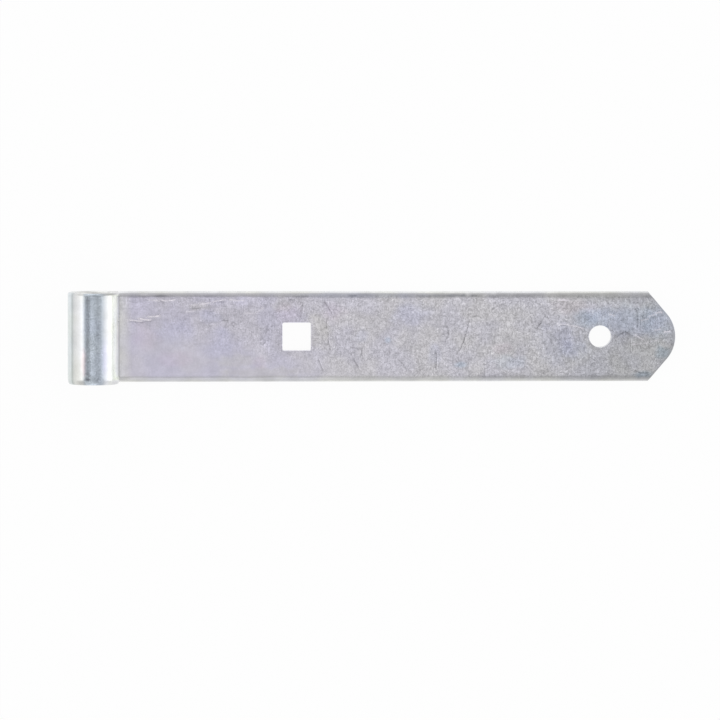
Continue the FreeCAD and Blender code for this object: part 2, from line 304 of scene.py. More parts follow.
# The front's stains and painted edge tones: their middle along and across the bar, and their reach
STAINS_AND_PAINTED_EDGES = [
    (AZURE, [
        (247, 9, 10, 6), (243, 8.5, 7, 5), (264, 9, 19, 8), (279, 8, 10, 13), (205, -13, 9, 4.5),
    ]),
    (LAVENDER, [
        (229, -3.5, 13, 12), (266, 7, 21, 10), (237, -6, 9, 6), (132, 0, 4, 4), (156, 12, 11, 7),
        (168, -9, 4, 7), (57, 10, 6, 4), (135, 20.6, 45, 1.6),
    ]),
    (GREY, [
        (229, -4, 11, 10), (31, 5, 8, 10), (128, 4, 7, 4), (270, -1, 12, 5), (160, 4, 6, 4),
        (143, 3, 10, 6), (207, -4, 10, 5), (281, -8, 4, 4),
    ]),
    (PALER_AND_PAINTED_EDGE_LIGHT, [
        (253, 13, 14, 7), (281, 9, 8, 9), (248, 12, 8, 9), (271, 16, 12, 6), (228, 14, 7, 5),
        (73, 17, 7, 4), (76, 18, 10, 3), (252, 17.5, 14, 3.5),
    ]),
    (LIGHTER_AND_PAINTED_EDGE_LIGHT, [
        (84, -4.5, 6, 4), (82, -3.5, 4, 4), (208, 17.5, 26, 4), (172, 17.5, 12, 4),
        (51, 17.5, 7, 3), (92, 17.5, 6, 3),
    ]),
    (STRAW, [
        (84, -18, 24, 3.5), (70, -12, 10, 4), (52, 15, 5, 3), (92, 16, 6, 4), (111, 3, 8, 12),
    ]),
    (BLUE, [
        (281, -8, 4, 4), (271, -19, 6, 2), (145, -2, 2, 2), (181, -14, 4, 2),
    ]),
    (PAINTED_EDGE_SHADE, [
        (271, -19, 5, 2), (258, -20.3, 40, 1.6), (205, -20, 30, 1.2), (131, 20.7, 7, 1.0),
        (171, 20.4, 6, 1.2), (196, 20.1, 7, 1.0), (211, 20.5, 6, 1.2), (163, 20.2, 4, 0.8),
        (22, 20.0, 8, 0.9), (57, 20.2, 4, 0.8), (102, 19.9, 5, 0.8),
    ]),
    (HAZE, [
        (39, 2, 12, 8), (62, -5, 8, 12),
    ]),
    (PINK, [
        (25, 0, 8, 8), (40, -11, 10, 5), (82, -13, 4, 4), (118, 12, 7, 6), (202, -6, 7, 3),
        (236, 15, 12, 5), (96, 12, 8, 5),
    ]),
    (PAINTED_EDGE_DARKNESS, [
        (177.5, 20.6, 5, 0.7), (182.5, 20.6, 1.5, 0.9), (187.5, 20.4, 2.2, 0.7), (33, 20.3, 4, 0.6),
        (128, 20.4, 3, 0.6),
    ]),
    (PAINTED_EDGE_HIGHLIGHT, [
        (184.6, 21.2, 1.6, 1.1), (193, 20.4, 1.9, 0.8), (197, 21.2, 1.5, 0.9), (25, 20.9, 3, 0.8),
        (143, 20.3, 2.5, 0.8),
    ]),
]
# The same on the eye's outside
EYE_STAINS_AND_PAINTED_EDGES = [
    (ROSE, [(-29.0, -11.6, 1.3, 8.0)]),
    (VIOLET, [(-37.4, -8.0, 1.6, 10.0)]),
    (PAINTED_EDGE_SHADE, [(-31.3, 19.6, 1.8, 1.2)]),
    (PAINTED_EYE_EDGE_SHADE, [(-30.5, -19.7, 1.1, 1.0)]),
]
# How ragged a stain is, and over what length, and the shares of its reach between which it fades
STAIN_WAVES = [(0.35, 5), (0.2, 1.8)]
STAIN_FADE = (0.35, 1.15)

# How the grain grows away from the eye, this much sooner for each millimetre towards +Y and along a
# ragged line, and how it then changes up to the nose
GRAIN_FROM_EYE = ((10, 105), (0.19, 1.0))
GRAIN_SLANT = 3.5
GRAIN_RAGGED = 12
GRAIN_RAGGED_LENGTH = 9
GRAIN_SEED = 2.2
GRAIN_TO_NOSE = ((140, 240), (0.87, 1.07))
# How the grain grows inwards from the strap's long edges and, in a third of that, from the nose's
GRAIN_IN_RIM = ((1.2, 3.4), (0.15, 1.0))
NOSE_RIM_SHARE = 3
# How the grain fades on the eye, at degrees from its top, and how far along the bar it covers the
# strap
GRAIN_ON_EYE = ((12, 24), (0.70, 0.10))
EYE_COVER = 8


def flank_place(across):
    """Where the nose's flank crosses a line along the bar, given how far across the bar that is."""
    tangent = np.array([math.cos(NOSE_REACH), math.sin(NOSE_REACH)]) * NOSE_RADIUS
    return NOSE_MIDDLE + tangent[0] - (np.abs(across) - tangent[1]) * math.tan(NOSE_REACH)


def depth_in_nose(points):
    """How far inside the nose's outline each point lies."""
    along = points[:, 0] - NOSE_MIDDLE
    across = np.abs(points[:, 1])
    from_flank = NOSE_RADIUS - along * math.cos(NOSE_REACH) - across * math.sin(NOSE_REACH)
    from_arc = NOSE_RADIUS - np.hypot(along, across)
    return np.where(np.arctan2(across, along) <= NOSE_REACH, from_arc, from_flank)


def beside_round_hole(points):
    """How far outside the round hole each point lies."""
    return np.hypot(points[:, 0] - ROUND_HOLE_PLACE, points[:, 1]) - ROUND_HOLE_RADIUS


def beside_square_hole(points):
    """How far outside the square hole each point lies."""
    flat = SQUARE_HOLE_SIDE / 2 - SQUARE_HOLE_CORNER
    offset = np.abs(points - [SQUARE_HOLE_PLACE, 0]) - flat
    outside = np.hypot(*np.maximum(offset, 0).T)
    return outside + np.minimum(offset.max(axis=1), 0) - SQUARE_HOLE_CORNER


def mark_path(places):
    """Closely spaced points along a mark."""
    places = np.array(places)
    steps = np.hypot(*np.diff(places, axis=0).T)
    travel = np.concatenate([[0], np.cumsum(steps)])
    stops = spread(0, travel[-1], MARK_PITCH)
    path = np.column_stack([np.interp(stops, travel, places[:, axis]) for axis in (0, 1)])
    inside = np.sin(np.linspace(0, math.pi, len(path)))
    stray = MARK_STRAY * inside * wander(path, MARK_STRAY_LENGTH, MARK_SEED)
    return path + np.column_stack([0 * inside, stray])


def mark_rows(path, width):
    """Rows of points along a mark, from its middle to its borders, which meet at its ends."""
    heading = np.gradient(path, axis=0)
    heading /= np.hypot(*heading.T)[:, None]
    aside = heading[:, ::-1] * [-1, 1] * width / 2
    return [path] + [(path + share * aside)[1:-1] for share in (-1, -0.5, 0.5, 1)]


def near_path(points, path):
    """Whether each point lies in the path's neighbourhood."""
    return (np.abs(points - path.mean(axis=0)) < np.ptp(path, axis=0) / 2 + MARK_REACH).all(axis=1)


def beside_path(points, path):
    """How far each point lies from a line through the path's points."""
    starts, steps = path[:-1], np.diff(path, axis=0)
    offset = points[:, None] - starts
    share = (offset * steps).sum(axis=2) / (steps**2).sum(axis=1)
    nearest = starts + np.clip(share, 0, 1)[..., None] * steps
    return np.hypot(*(points[:, None] - nearest).transpose(2, 0, 1)).min(axis=1)


def rounding(distance, radius):
    """How far a rounded edge lies below its face, at a distance from the edge's wall."""
    inward = np.clip(radius - distance, 0, radius)
    return radius - np.sqrt(radius**2 - inward**2)


def ring_distances(radius):
    """Distances from a wall at which rings of points follow the edge's rounding."""
    turns = np.linspace(0, math.pi / 2, RING_ROWS + 1)
    return radius * (1 - np.cos(turns))


def spread(start, end, pitch=PITCH):
    """Evenly spaced values from start to end, both of them included."""
    return np.linspace(start, end, max(2, round(abs(end - start) / pitch) + 1))


def round_ring(distance):
    """A closed ring of points at a distance outside the round hole."""
    count = round(2 * math.pi * ROUND_HOLE_RADIUS / ROUND_HOLE_PITCH)
    turns = np.arange(count) * 2 * math.pi / count
    radius = ROUND_HOLE_RADIUS + distance
    return np.column_stack([ROUND_HOLE_PLACE + radius * np.cos(turns), radius * np.sin(turns)])


def square_ring(distance):
    """A closed ring of points at a distance outside the square hole."""
    flat = SQUARE_HOLE_SIDE / 2 - SQUARE_HOLE_CORNER
    radius = SQUARE_HOLE_CORNER + distance
    sides = spread(-flat, flat)[1:-1]
    corner = np.linspace(0, math.pi / 2, CORNER_POINTS)
    quarter = [(flat + radius * math.cos(turn), flat + radius * math.sin(turn)) for turn in corner]
    quarter += [(place, flat + radius) for place in sides[::-1]]
    points = []
    for quarters in range(4):
        turn = quarters * math.pi / 2
        c, s = round(math.cos(turn)), round(math.sin(turn))
        points += [(SQUARE_HOLE_PLACE + x * c - y * s, x * s + y * c) for x, y in quarter]
    return np.array(points)


def nose_line(distance, edge):
    """Points along the nose's outline at a distance inside it, between two lines along the bar."""
    radius = NOSE_RADIUS - distance
    tangent = np.array([math.cos(NOSE_REACH), math.sin(NOSE_REACH)]) * radius
    tangent[0] += NOSE_MIDDLE
    across = spread(edge, tangent[1])
    along = flank_place(across) - distance / math.sin(FLANK_ANGLE)
    high = np.column_stack([along, across])
    turns = spread(NOSE_REACH, -NOSE_REACH, PITCH / NOSE_RADIUS)[1:-1]
    arc = np.column_stack([NOSE_MIDDLE + radius * np.cos(turns), radius * np.sin(turns)])
    high[-1] = tangent
    low = (high * [1, -1])[::-1]
    return np.vstack([high, arc, low])


def column_places():
    """How far the columns of points lie from the roll's end along a long edge, and its length."""
    ends = ring_distances(SHEAR_ROUNDING)
    length = flank_place(HALF_WIDTH) - ROLL_END
    plain = spread(ends[-1] + PITCH / 2, length - ends[-1] / math.sin(FLANK_ANGLE) - PITCH / 2)
    back = ends[::-1] / math.sin(FLANK_ANGLE)
    return np.concatenate([ends, plain, length - back]), length


def columns_at(across):
    """Where the columns of points cross a line along the bar: spaced as along a long edge, but stretched
    between the rows at the line's two ends."""
    places, length = column_places()
    stretch = flank_place(across) - ROLL_END - length
    last = len(places) - RING_ROWS - 1
    share = np.clip((np.arange(len(places)) - RING_ROWS) / (last - RING_ROWS), 0, 1)
    return ROLL_END + places + share * stretch


def rim_rows():
    """How far across the bar the rows of points in its rim lie, from inside to outside."""
    turns = np.linspace(0, math.pi / 2, RIM_ROWS + 1)
    return HALF_WIDTH - RIM_WIDTH * (1 - np.sin(turns))


def outline_chains(columns, rows):
    """Chains of points along the outline, the holes and the rims, each with whether it is closed."""
    chains = []
    for distance in ring_distances(SHEAR_ROUNDING):
        chains.append((nose_line(distance, INNER), False))
    for distance in ring_distances(PUNCH_ROUNDING):
        chains.append((round_ring(distance), True))
        chains.append((square_ring(distance), True))
    for distance in ring_distances(SHEAR_ROUNDING):
        line = np.column_stack([np.full(len(rows), ROLL_END + distance), rows])
        chains.append((line, False))
    for side in (1, -1):
        line = np.column_stack([columns, np.full(len(columns), side * INNER)])
        chains.append((line, False))
    return chains


def plain_points(columns, rows):
    """A grid of points, clear of the nose's outline and the holes."""
    columns = columns[RING_ROWS + 1:-RING_ROWS - 1]
    extra = np.arange(columns[-1] + PITCH, NOSE_END, PITCH)
    grid = np.array(np.meshgrid(np.concatenate([columns, extra]), rows[1:-1]))
    grid = grid.reshape(2, -1).T
    keep = depth_in_nose(grid) > SHEAR_ROUNDING + PITCH * CLEAR_OF_NOSE
    keep &= beside_round_hole(grid) > PUNCH_ROUNDING + PITCH * CLEAR_OF_HOLE
    keep &= beside_square_hole(grid) > PUNCH_ROUNDING + PITCH * CLEAR_OF_HOLE
    return grid[keep]


def chains_and_points(columns, rows):
    """The chains, those of the marks too, and the plain points between them."""
    chains = outline_chains(columns, rows)
    grid = plain_points(columns, rows)
    for brightness, width, depth, places in MARKS:
        path = mark_path(places)
        if np.abs(path[:, 1]).max() + width / 2 > INNER - MARK_CLEARANCE:
            continue
        chains += [(row, False) for row in mark_rows(path, width)]
        near = near_path(grid, path)
        keep = ~near
        keep[near] = beside_path(grid[near], path) > width / 2 + PITCH * CLEAR_OF_MARK
        grid = grid[keep]
    return chains, grid


def is_metal(points):
    """Whether each point lies on the blank between its rims and outside its holes."""
    inside = depth_in_nose(points) > 0
    inside &= beside_round_hole(points) > 0
    inside &= beside_square_hole(points) > 0
    inside &= points[:, 0] > ROLL_END
    inside &= np.abs(points[:, 1]) < INNER
    return inside


def blank_sheet():
    """The blank's outline filled with points and faces: points, faces counter-clockwise."""
    columns = columns_at(INNER)
    chains, grid = chains_and_points(columns, spread(-INNER, INNER))
    points = []
    numbers = {}
    edges = []

    def number_of(point):
        key = (round(point[0], POINT_DIGITS), round(point[1], POINT_DIGITS))
        if key not in numbers:
            numbers[key] = len(points)
            points.append(key)
        return numbers[key]

    for chain, closed in chains:
        row = [number_of(point) for point in chain]
        edges += zip(row, row[1:])
        if closed:
            edges.append((row[-1], row[0]))
    for point in grid:
        number_of(point)

    made = delaunay_2d_cdt([Vector(point) for point in points], edges, [], 0, POINT_REACH, True)
    source = [came_from[0] if came_from else None for came_from in made[3]]
    places = np.array([
        tuple(vertex) if came_from is None else points[came_from]
        for vertex, came_from in zip(made[0], source)
    ])
    faces = np.array([face for face in made[2] if len(face) == 3])
    faces = faces[is_metal(places[faces].mean(axis=1))]

    number = {came_from: index for index, came_from in enumerate(source)}
    places = [tuple(place) for place in places]
    faces = [tuple(face) for face in faces]
    for side in (1, -1):
        before = [number[number_of((x, side * INNER))] for x in columns]
        for across in rim_rows()[1:]:
            row = []
            for along in columns_at(across):
                row.append(len(places))
                places.append((along, side * across))
            for a, b, c, d in zip(before, before[1:], row[1:], row):
                faces.append((a, b, c, d) if side == 1 else (d, c, b, a))
            before = row
    return np.array(places), faces


def wander(points, wavelength, seed):
    """Smooth noise over the blank, from about -1 to 1."""
    return np.array([
        noise.noise(Vector((along / wavelength, across / wavelength, seed)))
        for along, across in points
    ])


def blend(value, low, high):
    """A smooth step from 0 to 1 as the value passes from low to high."""
    share = np.clip((value - low) / (high - low), 0, 1)
    return share**2 * (3 - 2 * share)


def passing(value, change):
    """A smooth change as the value passes through it."""
    limits, (before, after) = change
    return before + (after - before) * blend(value, *limits)


def turned_from_top(along):
    """How far round the eye a place along the blank is, in degrees from its top towards the strap."""
    return np.degrees(-along / MID_RADIUS) - 180


def edge_drop(points, front):
    """How far the rounded long edges lie below the face, and where in their width each point lies,
    from 0 at their inner border to 1 at the wall."""
    along = points[:, 0]
    side = np.where(points[:, 1] > 0, 0, 1)
    edges = (STRAP_EDGES, BORE_EDGES) if front else (BACK_EDGES, EYE_EDGES)
    strap, eye = (np.array(sides)[side] for sides in edges)
    on_strap = blend(along, *EDGE_CHANGE)
    width, depth, bend = (eye + (strap - eye) * on_strap[:, None]).T
    line = points * [1, WAVES_ACROSS]
    seed = FRONT_SEED if front else BACK_SEED
    uneven = sum(amount * wander(line, length, seed) for amount, length in EDGE_WAVES)
    width = width + on_strap * uneven
    width += WIDENING * blend(along, *WIDENING_PLACE) * (side == 0) * front
    depth = depth * (1 - SIDE_SHARE * (1 - on_strap) * np.sin(along / MID_RADIUS) ** 2)
    inward = np.clip(1 - (HALF_WIDTH - np.abs(points[:, 1])) / width, 0, 1)
    return depth * (1 - np.sqrt(1 - inward ** (2 * bend))), inward


def marks_at(points):
    """How bright and how deep the marks are at each point: in full up to halfway to their borders."""
    brightness = np.zeros(len(points))
    depth = np.zeros(len(points))
    for level, width, low, places in MARKS:
        path = mark_path(places)
        near = near_path(points, path)
        from_middle = beside_path(points[near], path) / (width / 2)
        share = np.clip(2 - 2 * from_middle, 0, 1)
        brightness[near] += level * share
        depth[near] += low * share
    return brightness, depth


def height(points, front):
    """How far the face lies from the blank's mid-plane."""
    drop, inward = edge_drop(points, front)
    level = THICKNESS / 2 - drop
    if front:
        level -= rounding(beside_round_hole(points), PUNCH_ROUNDING)
        level -= rounding(beside_square_hole(points), PUNCH_ROUNDING)
        level -= rounding(depth_in_nose(points), SHEAR_ROUNDING)
        level -= marks_at(points)[1]
    level -= rounding(points[:, 0] - ROLL_END, SHEAR_ROUNDING)
    ripple = sum(high * wander(points, length, seed) for high, length, seed in RIPPLES)
    ripple *= passing(points[:, 0], RIPPLE_FROM_EYE)
    return level - RIPPLE_ROOM + ripple * (1 - inward)


def along_table(table, values):
    """Rows of numbers read between those of a table, each of which has its place in front."""
    places = [place for place, row in table]
    columns = np.array([row for place, row in table]).T
    return np.column_stack([np.interp(values, places, column) for column in columns])


def stained_and_painted_edges(tint, points, stains):
    """The tint with stains over it, and with painted light and shade along the edges."""
    for tone, spots in stains:
        for along, across, length, width in spots:
            place = (points - [along, across]) / [length, width]
            ragged = sum(amount * wander(points, size, along) for amount, size in STAIN_WAVES)
            share = 1 - blend(np.hypot(*place.T) + ragged, *STAIN_FADE)
            tint = tint * (1 + share[:, None] * (np.array(tone) - 1))
    return tint


def tint_with_painted_light(points, front):
    """The plating's tint at each point, with painted light and shade on and beside the rounded edges."""
    along = points[:, 0]
    turned = turned_from_top(along)
    on_strap = blend(along, 0, TINT_CHANGE)[:, None]
    eye_tint = BORE_TINT if front else along_table(EYE_TINTS_WITH_PAINTED_LIGHT, turned)
    tint = eye_tint * (1 - on_strap) + along_table(STRAP_TINTS_WITH_PAINTED_LIGHT, along) * on_strap
    inward = edge_drop(points, front)[1]
    if front:
        painted_share = blend(inward, *STRAP_PAINTED_SHADE_START) * (1 - blend(inward, *STRAP_PAINTED_SHADE_END))
        painted_shades = along_table(STRAP_RIM_PAINTED_SHADING, along)
        greyed = sum(share * blend(inward, *limits) for share, limits in STRAP_GREYING)
    else:
        painted_share = blend(inward, *EYE_PAINTED_SHADE_START) * (1 - on_strap[:, 0])
        painted_shades = along_table(EYE_RIM_PAINTED_SHADING, turned)
        greyed = blend(inward, *EYE_GREYING) * blend(turned, *EYE_GREYING_TURN)
    # Painted light and shade across the middle of the rounded edges
    shade = np.where(points[:, 1] > 0, *painted_shades.T)
    tint += (tint.mean(axis=1, keepdims=True) - tint) * greyed[:, None]
    tint *= (1 + painted_share * (shade - 1))[:, None]
    return stained_and_painted_edges(tint, points, STAINS_AND_PAINTED_EDGES if front else EYE_STAINS_AND_PAINTED_EDGES)


def grain_at(points):
    """How strong the bar's grain is at each point: weak low on the strap beside the eye."""
    along, across = points.T
    ragged = GRAIN_RAGGED * wander(points, GRAIN_RAGGED_LENGTH, GRAIN_SEED)
    strap = passing(along + GRAIN_SLANT * across + ragged, GRAIN_FROM_EYE)
    strap *= passing(along, GRAIN_TO_NOSE)
    inside = np.minimum(HALF_WIDTH - np.abs(across), depth_in_nose(points) * NOSE_RIM_SHARE)
    strap *= passing(inside, GRAIN_IN_RIM)
    eye = passing(np.abs(turned_from_top(along)), GRAIN_ON_EYE)
    return np.where(along > EYE_COVER, strap, eye)


def roll(places):
    """Rolls the blank's near end round the pin's axis: along, across and through become x, y, z."""
    along, across, through = places.T
    waist = WAIST * blend(along, 0, WAIST_LENGTH)
    across = across * (1 - waist - NARROWING * np.maximum(along, 0) / NOSE_END)
    turn = np.maximum(-along, 0) / MID_RADIUS
    radius = MID_RADIUS - through
    return np.column_stack([
        np.maximum(along, 0) - radius * np.sin(turn), across, -radius * np.cos(turn)
    ])


def blank_solid():
    """The blank as a closed mesh: its points, its faces, and how many points its two faces have."""
    points, sheet = blank_sheet()
    count = len(points)
    front = height(points, True)
    back = -height(points, False)
    faces = list(sheet) + [tuple(count + corner for corner in face[::-1]) for face in sheet]
    places = [*np.column_stack([points, front]), *np.column_stack([points, back])]

    sides = {(a, b) for face in sheet for a, b in zip(face, face[1:] + face[:1])}
    border = [(a, b) for a, b in sides if (b, a) not in sides]
    wall = {}
    for corner in sorted({corner for side in border for corner in side}):
        column = [corner]
        for row in range(1, WALL_ROWS):
            share = row / WALL_ROWS
            column.append(len(places))
            level = front[corner] * (1 - share) + back[corner] * share
            places.append(np.array([*points[corner], level]))
        wall[corner] = column + [count + corner]
    for a, b in sorted(border):
        for row in range(WALL_ROWS):
            faces.append((wall[b][row], wall[a][row], wall[a][row + 1], wall[b][row + 1]))
    return np.array(places), faces, 2 * count


def band_mesh():
    """The band's mesh. Its attributes give each point's place on the blank, its tint with painted light
    and shade, its grain and its marks.
    """
    blank, faces, on_faces = blank_solid()
    flat = blank[:, :2]
    is_front = blank[:, 2] > 0
    tint = np.where(is_front[:, None], tint_with_painted_light(flat, True), tint_with_painted_light(flat, False))
    on_wall = np.arange(len(blank)) >= on_faces
    # Painted shade on the eye's cut ends
    tint[on_wall & (blank[:, 0] < 0)] *= EYE_END_PAINTED_SHADE
    colours = np.column_stack([tint, np.ones(len(tint))])
    marks = np.where(is_front, marks_at(flat)[0], 0)

    mesh = bpy.data.meshes.new("hinge_band_skin")
    mesh.from_pydata((roll(blank) * MM).tolist(), [], faces)
    for name, kind, key, values in (
        ("blank", "FLOAT_VECTOR", "vector", blank.ravel()),
        ("tint_with_painted_light", "FLOAT_COLOR", "color", colours.ravel()),
        ("grain", "FLOAT", "value", grain_at(flat)),
        ("mark", "FLOAT", "value", marks),
    ):
        mesh.attributes.new(name, kind, "POINT").data.foreach_set(key, values)
    mesh.validate()
    mesh.shade_smooth()
    mesh.set_sharp_from_angle(angle=SHARP_ANGLE)
    return mesh


def add_node(tree, kind, inputs=None, **settings):
    """Adds a node. Its inputs are given by name or number, as a value or as a socket to link."""
    made = tree.nodes.new(kind)
    for name, value in settings.items():
        setattr(made, name, value)
    for key, value in (inputs or {}).items():
        if isinstance(value, bpy.types.NodeSocket):
            tree.links.new(value, made.inputs[key])
        else:
            made.inputs[key].default_value = value
    return made


def compute(tree, operation, *values):
    """Adds a Math node and returns its result."""
    inputs = dict(enumerate(values))
    return add_node(tree, "ShaderNodeMath", inputs, operation=operation).outputs[0]


def remap(tree, value, change):
    """Adds a smooth change as the value passes through it, and returns it."""
    limits, levels = change
    inputs = {"Value": value, "From Min": limits[0], "From Max": limits[1]}
    inputs |= {"To Min": levels[0], "To Max": levels[1]}
    return add_node(tree, "ShaderNodeMapRange", inputs, interpolation_type="SMOOTHSTEP").outputs[0]


def scaled(tree, vector, share):
    """Adds a vector or a colour times a number, and returns it."""
    inputs = {0: vector, "Scale": share}
    return add_node(tree, "ShaderNodeVectorMath", inputs, operation="SCALE").outputs[0]


def mixed(tree, share, first, second):
    """Adds a mix of two colours, and returns it."""
    inputs = {0: share, 6: first, 7: second}
    return add_node(tree, "ShaderNodeMix", inputs, data_type="RGBA").outputs[2]


# The plating's patterns of noise over the blank: their scale in features to a millimetre, their
# octaves, the part of the noise that they show, and, where it isn't plain, how they are stretched,
# roughened and distorted
PLAIN = {"stretch": (1, 1, 1), "rough": 0.5, "distortion": 0.0}
PATTERNS = {
    "speckle": {"scale": 0.58, "octaves": 2.0, "part": (3, 8, 0), "rough": 0.55, "distortion": 0.5},
    "flecks": {"scale": 1.0, "octaves": 1.0, "part": (23, 71, 0), "distortion": 0.8},
    "light lines": {"scale": 0.42, "octaves": 1.0, "part": (17, 5, 0), "distortion": 1.2},
    "dark lines": {"scale": 0.40, "octaves": 1.0, "part": (61, 33, 0), "distortion": 1.2},
    "stripes": {"scale": 1.4, "octaves": 1.0, "part": (9, 2, 0), "stretch": (1, 0.12, 1)},
    "streaks": {
        "scale": 0.62, "octaves": 2.0, "part": (13, 47, 0), "stretch": (0.28, 1, 1),
        "distortion": 1.2,
    },
    "blotches": {"scale": 0.16, "octaves": 3.0, "part": (31, 7, 0)},
    "hue": {"scale": 0.07, "octaves": 1.0, "part": (2, 71, 0)},
    "wear": {"scale": 0.5, "octaves": 2.0, "part": (41, 13, 0)},
    "relief": {"scale": 1.7, "octaves": 2.0, "part": (5, 5, 5), "rough": 0.6, "distortion": 0.4},
    "gloss": {"scale": 0.3, "octaves": 4.0, "part": (1, 1, 1), "rough": 0.6},
}
# Their shares of the plating's brightness
SPECKLE = 0.45
LIGHT_LINES = 0.20
DARK_LINES = 0.24
FLECKS = 0.26
STRIPES = 0.35
BLOTCHES = 0.33
STREAKS = 0.55
MARK_SHARE = 0.48
# Lines show where a pattern passes its middle, and flecks at its peaks
LINE_CHANGE = ((0.0, 0.08), (1.0, 0.0))
FLECK_CHANGE = ((0.60, 0.78), (0.0, 1.0))
# The strap is streaked up to this far along it and from this far across it, where its other patterns
# are weaker by a share
STREAKED_ALONG = ((70, 105), (1.0, 0.0))
STREAKED_ACROSS = ((3, 10), (0.0, 1.0))
STREAKED_CALM = 0.45
# The plating turns from one hue to the other
HUE_CHANGE = ((0.35, 0.65), (0.0, 1.0))
COOL_HUE = (0.99, 0.995, 1.02, 1)
WARM_HUE = (1.005, 1.008, 0.98, 1)
# The bright marks: how worn they are, their colour, and how much less metallic and rougher they are
WEAR_CHANGE = ((0.36, 0.60), (0.52, 1.0))
BARE_COLOUR = (0.97, 0.925, 1.0, 1)
BARE_DULLNESS = 0.9
BARE_ROUGHNESS = 0.4
# The plating's roughness, and its relief in millimetres, to which the grain and the lines add shares
GLOSS_CHANGE = ((0.35, 0.65), (0.16, 0.22))
RELIEF = 0.035
RELIEF_GRAIN = 0.8
RELIEF_LINES = 0.5


def attribute(tree, name, output):
    """Adds the reading of one of the mesh's attributes, and returns it."""
    return add_node(tree, "ShaderNodeAttribute", attribute_name=name).outputs[output]


def pattern(tree, place, name):
    """Adds one of the plating's patterns, and returns it."""
    made = PLAIN | PATTERNS[name]
    inputs = {"Vector": place, "Location": made["part"], "Scale": made["stretch"]}
    moved = add_node(tree, "ShaderNodeMapping", inputs).outputs[0]
    inputs = {"Vector": moved, "Scale": made["scale"], "Detail": made["octaves"]}
    inputs |= {"Roughness": made["rough"], "Distortion": made["distortion"]}
    return add_node(tree, "ShaderNodeTexNoise", inputs).outputs["Fac"]


def centred(tree, place, name):
    """Adds one of the plating's patterns less its middle value, and returns it."""
    return compute(tree, "SUBTRACT", pattern(tree, place, name), 0.5)


def plating_lines(tree, place, name):
    """Adds fine wandering lines, 1 in their middle and 0 beside them, and returns them."""
    return remap(tree, compute(tree, "ABSOLUTE", centred(tree, place, name)), LINE_CHANGE)


def grain_texture(tree, place, light_lines, dark_lines):
    """Adds how much brighter the grain makes each spot, below 0 where it is darker, and returns it."""
    texture = compute(tree, "MULTIPLY", centred(tree, place, "speckle"), SPECKLE)
    texture = compute(tree, "MULTIPLY_ADD", light_lines, LIGHT_LINES, texture)
    texture = compute(tree, "MULTIPLY_ADD", dark_lines, -DARK_LINES, texture)
    flecks = remap(tree, pattern(tree, place, "flecks"), FLECK_CHANGE)
    texture = compute(tree, "MULTIPLY_ADD", flecks, FLECKS, texture)

    along, across = add_node(tree, "ShaderNodeSeparateXYZ", {0: place}).outputs[:2]
    streaked = compute(
        tree, "MULTIPLY", remap(tree, along, STREAKED_ALONG), remap(tree, across, STREAKED_ACROSS)
    )
    calm = compute(tree, "MULTIPLY_ADD", streaked, -STREAKED_CALM, 1.0)
    texture = compute(tree, "MULTIPLY", texture, calm)
    streaks = compute(tree, "MULTIPLY", centred(tree, place, "streaks"), STREAKS)
    texture = compute(tree, "MULTIPLY_ADD", streaks, streaked, texture)
    return compute(tree, "MULTIPLY_ADD", centred(tree, place, "stripes"), STRIPES, texture)


def zinc_plate():
    """Zinc plated steel over the grained skin of hot rolled bar."""
    material = bpy.data.materials.new("zinc_plated_steel")
    material.use_nodes = True
    tree = material.node_tree
    tree.nodes.clear()
    place = attribute(tree, "blank", "Vector")
    grain = attribute(tree, "grain", "Fac")
    mark = attribute(tree, "mark", "Fac")
    light_lines = plating_lines(tree, place, "light lines")
    dark_lines = plating_lines(tree, place, "dark lines")

    texture = grain_texture(tree, place, light_lines, dark_lines)
    texture = compute(tree, "MULTIPLY", texture, grain)
    dark_marks = compute(tree, "MINIMUM", mark, 0.0)
    texture = compute(tree, "MULTIPLY_ADD", dark_marks, MARK_SHARE, texture)
    texture = compute(tree, "MULTIPLY_ADD", centred(tree, place, "blotches"), BLOTCHES, texture)
    shade = compute(tree, "ADD", texture, 1.0)

    turned = remap(tree, pattern(tree, place, "hue"), HUE_CHANGE)
    # The tint read here holds painted light and shade as well as the plating's colour
    hues = {0: attribute(tree, "tint_with_painted_light", "Color"), 1: mixed(tree, turned, COOL_HUE, WARM_HUE)}
    colour = add_node(tree, "ShaderNodeVectorMath", hues, operation="MULTIPLY").outputs[0]
    worn = remap(tree, pattern(tree, place, "wear"), WEAR_CHANGE)
    bare = compute(tree, "MULTIPLY", compute(tree, "MAXIMUM", mark, 0.0), worn)
    colour = mixed(tree, bare, scaled(tree, colour, shade), BARE_COLOUR)
    metal = compute(tree, "MULTIPLY_ADD", bare, -BARE_DULLNESS, 1.0)
    gloss = remap(tree, pattern(tree, place, "gloss"), GLOSS_CHANGE)
    gloss = compute(tree, "MULTIPLY_ADD", bare, BARE_ROUGHNESS, gloss)

    relief = compute(tree, "MULTIPLY", pattern(tree, place, "relief"), RELIEF_GRAIN)
    lines = compute(tree, "SUBTRACT", light_lines, dark_lines)
    relief = compute(tree, "MULTIPLY_ADD", lines, RELIEF_LINES, relief)
    relief = compute(tree, "MULTIPLY", relief, grain)
    inputs = {"Strength": 1.0, "Distance": RELIEF * MM, "Height": relief}
    bump = add_node(tree, "ShaderNodeBump", inputs).outputs[0]

    inputs = {"Base Color": colour, "Metallic": metal, "Roughness": gloss, "Normal": bump}
    shader = add_node(tree, "ShaderNodeBsdfPrincipled", inputs)
    add_node(tree, "ShaderNodeOutputMaterial", {"Surface": shader.outputs[0]})
    return material


def add_band():
    """The band, in place of the plain solid."""
    mesh = band_mesh()
    mesh.materials.append(zinc_plate())
    band = bpy.data.objects.new("hinge_band_skin", mesh)
    bpy.context.scene.collection.objects.link(band)
    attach(band, "root")
    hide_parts("hinge_band")


